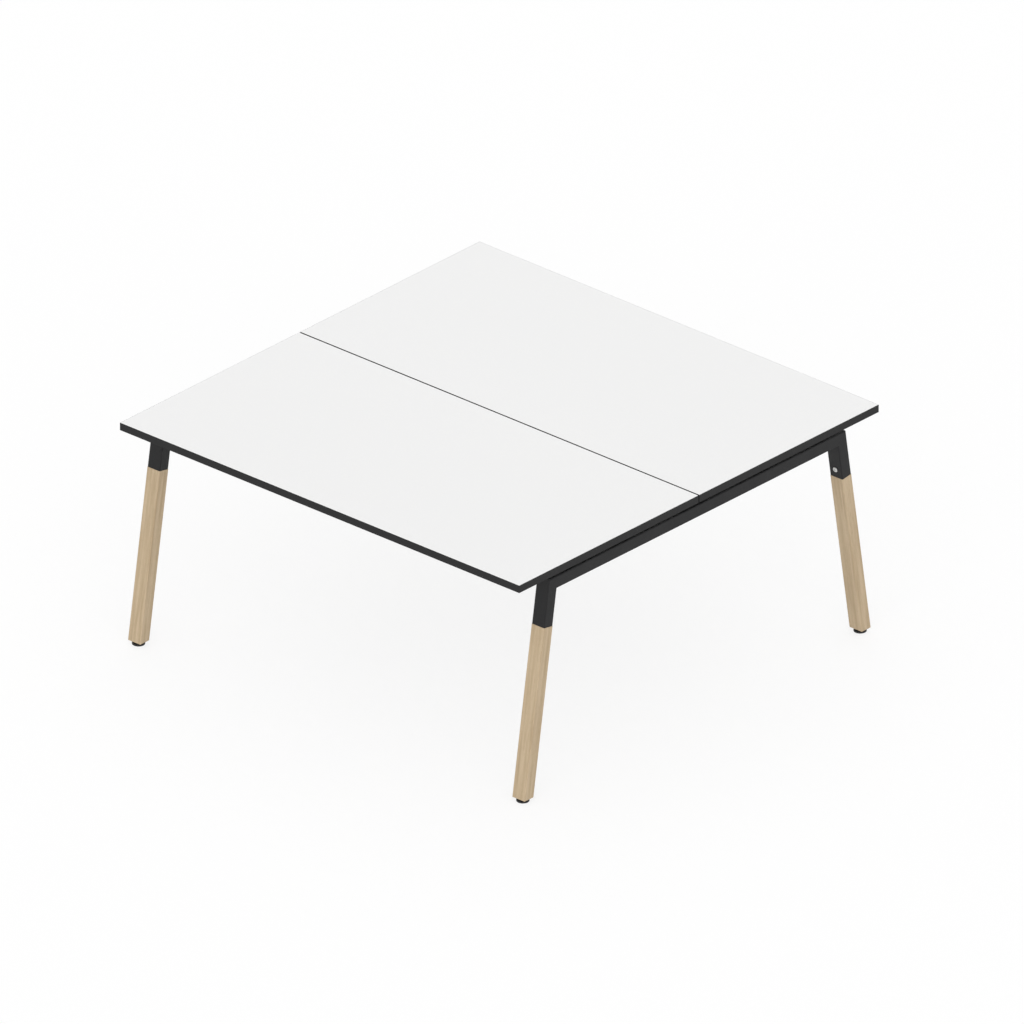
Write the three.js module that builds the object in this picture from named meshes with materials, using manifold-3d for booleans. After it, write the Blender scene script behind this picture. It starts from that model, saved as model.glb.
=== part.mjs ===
// Benching desk for two: two boards on welded tube end frames with splayed oak legs and levelling feet.
// Millimetres, +Z up. The origin is on the floor under the middle of the desk, +X runs along the seam between
// the boards and +Y across it. The front is towards -Y and the right towards +X.
import * as THREE from "three";
import { mergeVertices } from "three/addons/utils/BufferGeometryUtils.js";
import Module from "manifold-3d";

// Boards and their edging
const TOP_LENGTH = 1600; // along X
const TOP_DEPTH = 798; // along Y, one board with its edging
const TOP_THICKNESS = 25;
const TOP_SEAM = 4; // open seam between the two boards
const TOP_HEIGHT = 747; // floor to the upper faces
const BAND_THICKNESS = 0.8;
const BAND_ROUND = 0.5; // the edging's outer corners, scraped round

// Steel tube of the end frames
const TUBE_WIDTH = 50; // along X
const TUBE_DEPTH = 40; // in the plane of the end frame
const TUBE_WALL = 2;
const TUBE_CORNER = 4; // outer corner radius
const FRAME_INSET = 5; // outer side face of the tube to the short end of the boards
const FRAME_DEPTH = 1320; // over the outer top corners of an end frame, along Y
const LEG_TILT = THREE.MathUtils.degToRad(9); // the feet stand further out than the sockets
const SOCKET_LENGTH = 154; // along the socket's outer face, from the mitre's outer corner to the lower rim

// Oak legs
const LEG_EDGE = 2; // radius along the leg's edges
const TENON_LENGTH = 96; // up into the socket
const TENON_PLAY = 0.4; // all round, between tenon and tube
const TENON_EDGE = 5; // radius along the tenon's edges
const TENON_LEAD = 3; // chamfer at the tenon's upper end

// Leg bolt and its threaded insert
const LEG_BOLT_RISE = 28; // above the socket's lower rim
const LEG_BOLT_DIAMETER = 8;
const LEG_BOLT_GRIP = 26; // shank under the head
const LEG_BOLT_HEAD = 17;
const LEG_BOLT_HEAD_HEIGHT = 3;
const LEG_BOLT_KEY = 5; // hexagon socket across the flats
const LEG_BOLT_KEY_DEPTH = 2.6;
const LEG_NUT_DIAMETER = 12;
const LEG_NUT_LENGTH = 20;

// Levelling feet
const PAD_DIAMETER = 40;
const PAD_RIM = 5; // upright part of the pad's edge, with the round below it
const PAD_HEIGHT = 8;
const PAD_ROUND = 1.6;
const PAD_HUB = 18; // flat top of the pad, across
const PIVOT_DIAMETER = 10; // lower end of the screw, in the pad's pocket
const PIVOT_DEPTH = 4.2;
const COLLAR_HEIGHT = 3.4;
const COLLAR_FLATS = 15; // hexagon for a spanner
const FOOT_THREAD = 10;
const FOOT_THREAD_LENGTH = 32; // above the collar
const FOOT_THREAD_POINT = 1.2; // chamfer at the screw's upper end
const BUSH_DIAMETER = 15;
const BUSH_LENGTH = 25;
const BUSH_FLANGE = 22;
const BUSH_FLANGE_THICKNESS = 1.5;

// Beams under the boards
const BEAM_WIDTH = 50; // along Y
const BEAM_DEPTH = 40; // along Z
const BEAM_OFFSET = 300; // from the seam to the middle of the beam
const BRACKET_WIDTH = 72; // end bracket along Y
const BRACKET_PLATE = 5;
const BRACKET_REACH = 40; // lip over the rail, along X
const BRACKET_CORNER = 10; // rounded corners of the lip
const DRAIN_HOLE = 8; // in the beam's lower wall, where the coating runs out
const DRAIN_INSET = 45; // from the end rail to the drain hole
const BEAM_BOLT_DIAMETER = 8;
const BEAM_BOLT_HEAD = 14;
const BEAM_BOLT_HEAD_HEIGHT = 4.4;
const BEAM_BOLT_KEY = 5;
const BEAM_BOLT_KEY_DEPTH = 2.6;
const BEAM_BOLT_GRIP = 16;

// Spacers and screws between the rails and the boards
const SPACER_HEIGHT = 11;
const SPACER_DIAMETER = 30;
const SPACER_EDGE = 1; // chamfer round both ends
const OUTER_SPACER_INSET = 100; // from the end frame's outer top corner to the outer spacer
const INNER_SCREW_OFFSET = 45; // from the seam to the screws of the middle spacer
const TOP_SCREW_DIAMETER = 5;
const TOP_SCREW_HEAD = 10;
const TOP_SCREW_HEAD_HEIGHT = 3.2;
const TOP_SCREW_BITE = 17; // into the board
const TOP_SCREW_POINT = 5;
const TOP_SCREW_SLOT = 4; // cross recess, across
const TOP_SCREW_SLOT_WIDTH = 1.2;
const TOP_SCREW_SLOT_DEPTH = 1.6;
const ACCESS_HOLE = 14; // in the rail's lower wall, for the screwdriver

// Clearances
const SEAT = 0.3; // between pieces that bear on each other in a tilted frame, or across a weld
const FIT = 0.3; // radial, between a shank or sleeve and its hole

// Facets
const CORNER_STEPS = 3; // arc steps at a rounded corner
const PAD_STEPS = 24; // sides of a foot pad
const FASTENER_STEPS = 12; // sides of bolts, screws, sleeves, spacers and the holes for them

// Sizes that follow from the ones above
const BOARD_UNDERSIDE = TOP_HEIGHT - TOP_THICKNESS;
const FRAME_TOP = BOARD_UNDERSIDE - SPACER_HEIGHT;
const OUTER_SPACER_OFFSET = FRAME_DEPTH / 2 - OUTER_SPACER_INSET; // from the seam
const RAIL_X = TOP_LENGTH / 2 - FRAME_INSET - TUBE_WIDTH / 2; // middle of the rail and of the legs
const RAIL_INNER_X = RAIL_X - TUBE_WIDTH / 2;
const BOARD_Y = (TOP_SEAM + TOP_DEPTH) / 2; // middle of a board
const MITRE_RUN = TUBE_DEPTH / Math.tan((Math.PI / 2 + LEG_TILT) / 2);
const LEG_FLOOR_GAP = PAD_HEIGHT + COLLAR_HEIGHT + 2 * SEAT; // floor to the sawn end of the leg
// The socket's axis starts level with the mitre's outer corner, half a tube in from it.
const AXIS_Y = FRAME_DEPTH / 2 - (TUBE_DEPTH / 2) * Math.cos(LEG_TILT);
const AXIS_Z = FRAME_TOP - (TUBE_DEPTH / 2) * Math.sin(LEG_TILT);
const LEG_REACH = (AXIS_Z - LEG_FLOOR_GAP) / Math.cos(LEG_TILT); // along the axis, down to the sawn end
const FOOT_Y = AXIS_Y + LEG_REACH * Math.sin(LEG_TILT);

const wasm = await Module();
wasm.setup();

// A closed geometry as a solid that can be cut and joined.
function solid(geometry) {
  const bare = geometry.clone();
  bare.deleteAttribute("normal");
  bare.deleteAttribute("uv");
  const merged = mergeVertices(bare, 1e-4);
  return new wasm.Manifold(
    new wasm.Mesh({
      numProp: 3,
      vertProperties: merged.attributes.position.array,
      triVerts: new Uint32Array(merged.index.array),
    }),
  );
}

function geometryOf(made) {
  const { vertProperties, triVerts } = made.getMesh();
  const geometry = new THREE.BufferGeometry();
  geometry.setAttribute("position", new THREE.BufferAttribute(vertProperties, 3));
  geometry.setIndex(new THREE.BufferAttribute(triVerts, 1));
  geometry.computeVertexNormals();
  return geometry;
}

function cut(geometry, cutters) {
  const made = cutters.reduce((left, cutter) => left.subtract(solid(cutter)), solid(geometry));
  return geometryOf(made);
}

function join(geometries) {
  const [first, ...others] = geometries.map(solid);
  return geometryOf(others.reduce((made, other) => made.add(other), first));
}

// Outline of a rectangle with round corners, centred on the origin.
function roundedRectangle(width, height, radius, path = new THREE.Shape()) {
  const x = width / 2;
  const y = height / 2;
  path.moveTo(x, radius - y);
  path.lineTo(x, y - radius);
  path.absarc(x - radius, y - radius, radius, 0, Math.PI / 2);
  path.absarc(radius - x, y - radius, radius, Math.PI / 2, Math.PI);
  path.absarc(radius - x, radius - y, radius, Math.PI, Math.PI * 1.5);
  path.absarc(x - radius, radius - y, radius, Math.PI * 1.5, Math.PI * 2);
  return path;
}

function extrude(shape, length) {
  return new THREE.ExtrudeGeometry(shape, {
    depth: length,
    bevelEnabled: false,
    curveSegments: CORNER_STEPS,
  });
}

// Rectangular tube from z = 0 to z = length.
function tube(width, depth, length) {
  const shape = roundedRectangle(width, depth, TUBE_CORNER);
  shape.holes.push(
    roundedRectangle(
      width - 2 * TUBE_WALL,
      depth - 2 * TUBE_WALL,
      Math.max(TUBE_CORNER - TUBE_WALL, TUBE_WALL / 4),
      new THREE.Path(),
    ),
  );
  return extrude(shape, length);
}

// Saws the end of a straight piece to a slant: its vertices at height z move by slope times y.
function slantEnd(geometry, z, slope) {
  const position = geometry.attributes.position;
  for (let i = 0; i < position.count; i++) {
    if (Math.abs(position.getZ(i) - z) < SEAT / 3) {
      position.setZ(i, z + slope * position.getY(i));
    }
  }
  return geometry;
}

// Turned piece about Z from [radius, height] points that run upwards from the axis and back to it.
function turn(points, sides = FASTENER_STEPS) {
  const profile = points.map(([radius, height]) => new THREE.Vector2(radius, height));
  return new THREE.LatheGeometry(profile, sides).rotateX(Math.PI / 2);
}

// Turned sleeve: the points run once round its section.
function sleeve(points) {
  return turn([...points, points[0]]);
}

// Round bar from z = 0 upwards, used as a drill.
function drill(diameter, length) {
  const bar = new THREE.CylinderGeometry(diameter / 2, diameter / 2, length, FASTENER_STEPS);
  return bar.rotateX(Math.PI / 2).translate(0, 0, length / 2);
}

function hexagon(flats, length) {
  const radius = flats / Math.sqrt(3);
  const bar = new THREE.CylinderGeometry(radius, radius, length, 6);
  return bar.rotateX(Math.PI / 2).translate(0, 0, length / 2);
}

// Points of an arc from one angle to another, for a turned profile.
function arc(radius, height, bend, from, to) {
  const points = [];
  for (let i = 0; i <= CORNER_STEPS; i++) {
    const angle = from + ((to - from) * i) / CORNER_STEPS;
    points.push([radius + bend * Math.cos(angle), height + bend * Math.sin(angle)]);
  }
  return points;
}

// Button-headed bolt: the head's seat is at z = 0, the shank runs down and the domed head up.
function buttonBolt(diameter, grip, head, headHeight, key, keyDepth) {
  const flat = head / 4; // flat middle of the dome, half across
  const dome = [];
  for (let i = 0; i <= CORNER_STEPS; i++) {
    const angle = ((Math.PI / 2) * i) / CORNER_STEPS;
    dome.push([flat + (head / 2 - flat) * Math.cos(angle), headHeight * Math.sin(angle)]);
  }
  const lead = diameter / 10;
  const blank = turn([
    [0, -grip],
    [diameter / 2 - lead, -grip],
    [diameter / 2, lead - grip],
    [diameter / 2, 0],
    ...dome,
    [0, headHeight],
  ]);
  return cut(blank, [hexagon(key, headHeight).translate(0, 0, headHeight - keyDepth)]);
}

const FINISH = {
  whiteFace: { color: 0xf0f0ee, roughness: 0.5, metalness: 0 },
  blackEdge: { color: 0x2b2b2d, roughness: 0.55, metalness: 0 },
  blackCoat: { color: 0x2c2c2e, roughness: 0.6, metalness: 0.1 },
  oak: { color: 0xc0aa8c, roughness: 0.6, metalness: 0 },
  zinc: { color: 0xb0aeaa, roughness: 0.35, metalness: 1 },
  blackPlastic: { color: 0x262628, roughness: 0.6, metalness: 0 },
};

function part(name, geometry, finish) {
  const mesh = new THREE.Mesh(geometry, new THREE.MeshStandardMaterial(FINISH[finish]));
  mesh.name = name;
  return mesh;
}

const desk = new THREE.Group();

const SIDES = [
  { name: "left", x: -1 },
  { name: "right", x: 1 },
];
const ROWS = [
  { name: "front", y: -1 },
  { name: "rear", y: 1 },
];
const SCREW_OFFSETS = [
  { name: "outer", offset: OUTER_SPACER_OFFSET },
  { name: "inner", offset: INNER_SCREW_OFFSET },
];

// Board with blind pilot holes from below for its screws, and four strips of edging.
// The long strips cover the ends of the short ones.
function boardGeometry(row) {
  const board = new THREE.BoxGeometry(
    TOP_LENGTH - 2 * BAND_THICKNESS,
    TOP_DEPTH - 2 * BAND_THICKNESS,
    TOP_THICKNESS,
  ).translate(0, 0, TOP_THICKNESS / 2);
  const pilot = TOP_SCREW_DIAMETER + 2 * FIT;
  const holes = [];
  for (const side of SIDES) {
    for (const { offset } of SCREW_OFFSETS) {
      const hole = drill(pilot, TOP_SCREW_BITE + SEAT + TUBE_WALL);
      holes.push(hole.translate(side.x * RAIL_X, row.y * (offset - BOARD_Y), -TUBE_WALL));
    }
  }
  return cut(board, holes);
}

// Edging strip along X with its rounded outer face towards +Y and its inner face on y = 0.
function bandGeometry(length) {
  const shape = new THREE.Shape();
  shape.moveTo(0, 0);
  shape.lineTo(BAND_THICKNESS - BAND_ROUND, 0);
  shape.absarc(BAND_THICKNESS - BAND_ROUND, BAND_ROUND, BAND_ROUND, -Math.PI / 2, 0);
  shape.absarc(BAND_THICKNESS - BAND_ROUND, TOP_THICKNESS - BAND_ROUND, BAND_ROUND, 0, Math.PI / 2);
  shape.lineTo(0, TOP_THICKNESS);
  const strip = extrude(shape, length).translate(0, 0, -length / 2);
  return strip.rotateX(Math.PI / 2).rotateZ(Math.PI / 2);
}

for (const row of ROWS) {
  const top = new THREE.Group();
  top.position.set(0, row.y * BOARD_Y, BOARD_UNDERSIDE);
  top.add(part(`desktop_${row.name}`, boardGeometry(row), "whiteFace"));
  const boardHalfDepth = TOP_DEPTH / 2 - BAND_THICKNESS;
  const outer = part(`edge_band_${row.name}_outer`, bandGeometry(TOP_LENGTH), "blackEdge");
  outer.position.y = row.y * boardHalfDepth;
  outer.rotation.z = row.y > 0 ? 0 : Math.PI;
  const seam = part(`edge_band_${row.name}_seam`, bandGeometry(TOP_LENGTH), "blackEdge");
  seam.position.y = -row.y * boardHalfDepth;
  seam.rotation.z = row.y > 0 ? Math.PI : 0;
  top.add(outer, seam);
  for (const side of SIDES) {
    const end = part(`edge_band_${row.name}_${side.name}`, bandGeometry(2 * boardHalfDepth), "blackEdge");
    end.position.x = side.x * (TOP_LENGTH / 2 - BAND_THICKNESS);
    end.rotation.z = (-side.x * Math.PI) / 2;
    top.add(end);
  }
  desk.add(top);
}

// End rail: mitred tube along Y with holes for the board screws and the beam bolts.
// The rail is made upright, with its upper face towards +Y, and then laid down.
function railGeometry() {
  const length = FRAME_DEPTH - MITRE_RUN; // along its middle
  const slope = MITRE_RUN / TUBE_DEPTH;
  const rail = tube(TUBE_WIDTH, TUBE_DEPTH, length).translate(0, 0, -length / 2);
  slantEnd(rail, length / 2, slope);
  slantEnd(rail, -length / 2, -slope);
  const laid = rail.rotateX(Math.PI / 2).translate(0, 0, FRAME_TOP - TUBE_DEPTH / 2);
  const wallDrill = 2 * TUBE_WALL;
  const holes = [];
  for (const row of ROWS) {
    for (const { offset } of SCREW_OFFSETS) {
      const y = row.y * offset;
      const screwHole = drill(TOP_SCREW_DIAMETER + 2 * FIT, wallDrill);
      holes.push(screwHole.translate(0, y, FRAME_TOP - 1.5 * TUBE_WALL));
      const access = drill(ACCESS_HOLE, wallDrill);
      holes.push(access.translate(0, y, FRAME_TOP - TUBE_DEPTH - TUBE_WALL / 2));
    }
    const boltHole = drill(BEAM_BOLT_DIAMETER + 2 * FIT, wallDrill);
    holes.push(boltHole.translate(0, row.y * BEAM_OFFSET, FRAME_TOP - 1.5 * TUBE_WALL));
  }
  return cut(laid, holes);
}

for (const side of SIDES) {
  const rail = part(`end_rail_${side.name}`, railGeometry(), "blackCoat");
  rail.position.x = side.x * RAIL_X;
  desk.add(rail);
}

// The pieces of a leg share a frame on the socket's axis: its origin is level with the mitre's outer corner,
// -Z runs down the leg and +Y faces outwards.
const SOCKET_RIM = -SOCKET_LENGTH; // lower rim of the socket
const LEG_SHOULDER = SOCKET_RIM - SEAT;
const BOLT_Z = SOCKET_RIM + LEG_BOLT_RISE;
const TENON_WIDTH = TUBE_WIDTH - 2 * (TUBE_WALL + TENON_PLAY);
const TENON_DEPTH = TUBE_DEPTH - 2 * (TUBE_WALL + TENON_PLAY);

// Lays a drill that points up onto the inner face of the leg, pointing outwards along +Y from the given depth.
function fromInside(geometry, y) {
  return geometry.rotateX(-Math.PI / 2).translate(0, y, BOLT_Z);
}

function socketGeometry() {
  const slope = MITRE_RUN / TUBE_DEPTH;
  const middle = -MITRE_RUN / 2 - SEAT; // where the axis meets the mitre, less the weld's gap
  const socket = tube(TUBE_WIDTH, TUBE_DEPTH, middle - SOCKET_RIM).translate(0, 0, SOCKET_RIM);
  slantEnd(socket, middle, slope);
  const boltHole = drill(LEG_BOLT_DIAMETER + 2 * FIT, 2 * TUBE_WALL);
  return cut(socket, [fromInside(boltHole, -TUBE_DEPTH / 2 - TUBE_WALL / 2)]);
}

function legGeometry() {
  const length = LEG_REACH + LEG_SHOULDER; // shoulder to the sawn end, along the axis
  const outline = roundedRectangle(TUBE_WIDTH, TUBE_DEPTH, LEG_EDGE);
  const shaft = extrude(outline, length).translate(0, 0, -LEG_REACH);
  slantEnd(shaft, -LEG_REACH, -Math.tan(LEG_TILT));
  const root = TENON_LEAD; // the tenon starts inside the shaft
  const tenon = new THREE.ExtrudeGeometry(
    roundedRectangle(TENON_WIDTH - 2 * TENON_LEAD, TENON_DEPTH - 2 * TENON_LEAD, TENON_EDGE - TENON_LEAD),
    {
      depth: TENON_LENGTH + root - TENON_LEAD,
      bevelThickness: TENON_LEAD,
      bevelSize: TENON_LEAD,
      bevelSegments: 1,
      curveSegments: CORNER_STEPS,
    },
  ).translate(0, 0, LEG_SHOULDER - root);
  const nutBore = fromInside(
    drill(LEG_NUT_DIAMETER + 2 * FIT, LEG_NUT_LENGTH + SEAT + TENON_PLAY),
    -TENON_DEPTH / 2 - TENON_PLAY,
  );
  const boltBore = fromInside(
    drill(LEG_BOLT_DIAMETER + 2 * FIT, LEG_BOLT_GRIP + SEAT),
    -TUBE_DEPTH / 2,
  );
  // The foot's bores stand upright in the tilted leg.
  const upright = (geometry) => geometry.rotateX(-LEG_TILT).translate(0, 0, -LEG_REACH);
  const below = BUSH_FLANGE_THICKNESS; // the drills start below the sawn end
  const flangeBore = drill(BUSH_FLANGE + 2 * FIT, below + BUSH_FLANGE_THICKNESS + SEAT);
  const bushBore = drill(BUSH_DIAMETER + 2 * FIT, below + BUSH_LENGTH + SEAT);
  const screwBore = drill(FOOT_THREAD + 2 * FIT, below + FOOT_THREAD_LENGTH + SEAT);
  const footBores = [flangeBore, bushBore, screwBore].map((bore) => upright(bore.translate(0, 0, -below)));
  return cut(join([shaft, tenon]), [nutBore, boltBore, ...footBores]);
}

function legBoltGeometry() {
  const bolt = buttonBolt(
    LEG_BOLT_DIAMETER,
    LEG_BOLT_GRIP,
    LEG_BOLT_HEAD,
    LEG_BOLT_HEAD_HEIGHT,
    LEG_BOLT_KEY,
    LEG_BOLT_KEY_DEPTH,
  );
  return bolt.rotateX(Math.PI / 2).translate(0, -TUBE_DEPTH / 2 - SEAT, BOLT_Z);
}

function legNutGeometry() {
  const inner = LEG_BOLT_DIAMETER / 2 + FIT;
  const outer = LEG_NUT_DIAMETER / 2;
  const nut = sleeve([
    [inner, 0],
    [outer, 0],
    [outer, LEG_NUT_LENGTH],
    [inner, LEG_NUT_LENGTH],
  ]);
  return fromInside(nut, -TENON_DEPTH / 2);
}

// Levelling foot, upright, with z = 0 on the floor.
const COLLAR_BASE = PAD_HEIGHT + SEAT;
const COLLAR_TOP = COLLAR_BASE + COLLAR_HEIGHT;

function padGeometry() {
  const rim = PAD_DIAMETER / 2;
  const pocket = PIVOT_DIAMETER / 2 + FIT;
  const profile = [
    [0, 0],
    ...arc(rim - PAD_ROUND, PAD_ROUND, PAD_ROUND, -Math.PI / 2, 0),
    [rim, PAD_RIM],
    [PAD_HUB / 2, PAD_HEIGHT],
    [pocket, PAD_HEIGHT],
    [pocket, PAD_HEIGHT - PIVOT_DEPTH],
    [0, PAD_HEIGHT - PIVOT_DEPTH],
  ];
  return turn(profile, PAD_STEPS);
}

function footScrewGeometry() {
  const thread = FOOT_THREAD / 2;
  const pivot = PIVOT_DIAMETER / 2;
  const tip = COLLAR_TOP + FOOT_THREAD_LENGTH - SEAT;
  const spindle = turn([
    [0, PAD_HEIGHT - PIVOT_DEPTH + SEAT],
    [pivot, PAD_HEIGHT - PIVOT_DEPTH + SEAT],
    [pivot, COLLAR_BASE + COLLAR_HEIGHT / 2],
    [thread, COLLAR_BASE + COLLAR_HEIGHT / 2],
    [thread, tip - FOOT_THREAD_POINT],
    [thread - FOOT_THREAD_POINT, tip],
    [0, tip],
  ]);
  return join([spindle, hexagon(COLLAR_FLATS, COLLAR_HEIGHT).translate(0, 0, COLLAR_BASE)]);
}

function bushGeometry() {
  const inner = FOOT_THREAD / 2 + FIT;
  const outer = BUSH_DIAMETER / 2;
  const flange = BUSH_FLANGE / 2;
  return sleeve([
    [inner, LEG_FLOOR_GAP],
    [flange, LEG_FLOOR_GAP],
    [flange, LEG_FLOOR_GAP + BUSH_FLANGE_THICKNESS],
    [outer, LEG_FLOOR_GAP + BUSH_FLANGE_THICKNESS],
    [outer, LEG_FLOOR_GAP + BUSH_LENGTH],
    [inner, LEG_FLOOR_GAP + BUSH_LENGTH],
  ]);
}

for (const row of ROWS) {
  for (const side of SIDES) {
    const place = `${row.name}_${side.name}`;
    const corner = new THREE.Group();
    corner.position.x = side.x * RAIL_X;
    corner.rotation.z = row.y > 0 ? 0 : Math.PI;
    const leg = new THREE.Group();
    leg.position.set(0, AXIS_Y, AXIS_Z);
    leg.rotation.x = LEG_TILT;
    leg.add(
      part(`leg_socket_${place}`, socketGeometry(), "blackCoat"),
      part(`wood_leg_${place}`, legGeometry(), "oak"),
      part(`leg_bolt_${place}`, legBoltGeometry(), "zinc"),
      part(`leg_nut_${place}`, legNutGeometry(), "zinc"),
    );
    const foot = new THREE.Group();
    foot.position.y = FOOT_Y;
    foot.add(
      part(`foot_pad_${place}`, padGeometry(), "blackPlastic"),
      part(`foot_screw_${place}`, footScrewGeometry(), "zinc"),
      part(`foot_bush_${place}`, bushGeometry(), "zinc"),
    );
    corner.add(leg, foot);
    desk.add(corner);
  }
}

// Beam along X: a tube closed at each end by a welded angle bracket whose lip lies on the end rail.
function beamGeometry() {
  const plateX = RAIL_INNER_X - SEAT - BRACKET_PLATE; // inner face of the end plate
  const half = tube(BEAM_WIDTH, BEAM_DEPTH, 2 * plateX + BRACKET_PLATE);
  const bar = half.translate(0, 0, -plateX - BRACKET_PLATE / 2).rotateZ(Math.PI / 2).rotateY(Math.PI / 2);
  bar.translate(0, 0, BOARD_UNDERSIDE - BEAM_DEPTH / 2);
  const lipReach = RAIL_INNER_X + BRACKET_REACH;
  const pieces = [bar];
  for (const side of SIDES) {
    const plate = new THREE.BoxGeometry(BRACKET_PLATE, BRACKET_WIDTH, BEAM_DEPTH);
    plate.translate(side.x * (plateX + BRACKET_PLATE / 2), 0, BOARD_UNDERSIDE - BEAM_DEPTH / 2);
    const lipLength = lipReach - plateX + BRACKET_CORNER;
    const lip = extrude(roundedRectangle(lipLength, BRACKET_WIDTH, BRACKET_CORNER), BRACKET_PLATE);
    lip.translate(side.x * (lipReach - lipLength / 2), 0, FRAME_TOP);
    pieces.push(plate, lip);
  }
  const holes = [];
  for (const side of SIDES) {
    const boltHole = drill(BEAM_BOLT_DIAMETER + 2 * FIT, 2 * BRACKET_PLATE);
    holes.push(boltHole.translate(side.x * RAIL_X, 0, FRAME_TOP - BRACKET_PLATE / 2));
    const drain = drill(DRAIN_HOLE, 2 * TUBE_WALL);
    const beamBottom = BOARD_UNDERSIDE - BEAM_DEPTH;
    holes.push(drain.translate(side.x * (RAIL_INNER_X - DRAIN_INSET), 0, beamBottom - TUBE_WALL / 2));
  }
  return cut(join(pieces), holes);
}

function beamBoltGeometry() {
  return buttonBolt(
    BEAM_BOLT_DIAMETER,
    BEAM_BOLT_GRIP,
    BEAM_BOLT_HEAD,
    BEAM_BOLT_HEAD_HEIGHT,
    BEAM_BOLT_KEY,
    BEAM_BOLT_KEY_DEPTH,
  );
}

for (const row of ROWS) {
  const beam = part(`cross_beam_${row.name}`, beamGeometry(), "blackCoat");
  beam.position.y = row.y * BEAM_OFFSET;
  desk.add(beam);
  for (const side of SIDES) {
    const bolt = part(`beam_bolt_${row.name}_${side.name}`, beamBoltGeometry(), "zinc");
    bolt.position.set(side.x * RAIL_X, row.y * BEAM_OFFSET, FRAME_TOP + BRACKET_PLATE);
    desk.add(bolt);
  }
}

// Round spacer, and the long one across the seam with a hole for each board's screw.
function roundSpacerGeometry() {
  const inner = TOP_SCREW_DIAMETER / 2 + FIT;
  const outer = SPACER_DIAMETER / 2;
  return sleeve([
    [inner, 0],
    [outer - SPACER_EDGE, 0],
    [outer, SPACER_EDGE],
    [outer, SPACER_HEIGHT - SPACER_EDGE],
    [outer - SPACER_EDGE, SPACER_HEIGHT],
    [inner, SPACER_HEIGHT],
  ]);
}

function seamSpacerGeometry() {
  const length = 2 * INNER_SCREW_OFFSET + SPACER_DIAMETER;
  const outline = roundedRectangle(
    SPACER_DIAMETER - 2 * SPACER_EDGE,
    length - 2 * SPACER_EDGE,
    SPACER_DIAMETER / 2 - SPACER_EDGE,
  );
  const block = new THREE.ExtrudeGeometry(outline, {
    depth: SPACER_HEIGHT - 2 * SPACER_EDGE,
    bevelThickness: SPACER_EDGE,
    bevelSize: SPACER_EDGE,
    bevelSegments: 1,
    curveSegments: FASTENER_STEPS / 4,
  }).translate(0, 0, SPACER_EDGE);
  const holes = ROWS.map((row) => {
    const hole = drill(TOP_SCREW_DIAMETER + 2 * FIT, SPACER_HEIGHT + 2 * SPACER_EDGE);
    return hole.translate(0, row.y * INNER_SCREW_OFFSET, -SPACER_EDGE);
  });
  return cut(block, holes);
}

// Pan-headed screw with a cross recess: the head bears on the inside of the rail's upper wall at z = 0.
function topScrewGeometry() {
  const shank = TOP_SCREW_DIAMETER / 2;
  const head = TOP_SCREW_HEAD / 2;
  const tip = TUBE_WALL + SPACER_HEIGHT + TOP_SCREW_BITE;
  const round = TOP_SCREW_HEAD_HEIGHT / 2;
  const blank = turn([
    [0, -TOP_SCREW_HEAD_HEIGHT],
    ...arc(head - round, round - TOP_SCREW_HEAD_HEIGHT, round, -Math.PI / 2, 0),
    [head, 0],
    [shank, 0],
    [shank, tip - TOP_SCREW_POINT],
    [0, tip],
  ]);
  const slots = [0, Math.PI / 2].map((angle) => {
    const slot = new THREE.BoxGeometry(TOP_SCREW_SLOT, TOP_SCREW_SLOT_WIDTH, 2 * TOP_SCREW_SLOT_DEPTH);
    return slot.rotateZ(angle).translate(0, 0, -TOP_SCREW_HEAD_HEIGHT);
  });
  return cut(blank, slots);
}

for (const side of SIDES) {
  const middle = part(`top_spacer_${side.name}_seam`, seamSpacerGeometry(), "blackPlastic");
  middle.position.set(side.x * RAIL_X, 0, FRAME_TOP);
  desk.add(middle);
  for (const row of ROWS) {
    const spacer = part(`top_spacer_${side.name}_${row.name}`, roundSpacerGeometry(), "blackPlastic");
    spacer.position.set(side.x * RAIL_X, row.y * OUTER_SPACER_OFFSET, FRAME_TOP);
    desk.add(spacer);
    for (const { name, offset } of SCREW_OFFSETS) {
      const screw = part(`top_screw_${row.name}_${side.name}_${name}`, topScrewGeometry(), "zinc");
      screw.position.set(side.x * RAIL_X, row.y * offset, FRAME_TOP - TUBE_WALL);
      desk.add(screw);
    }
  }
}

export default desk;
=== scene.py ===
from math import ceil, cos, pi, radians, sin, sqrt, tan

import bmesh
import bpy
from mathutils import Matrix, Vector


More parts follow.
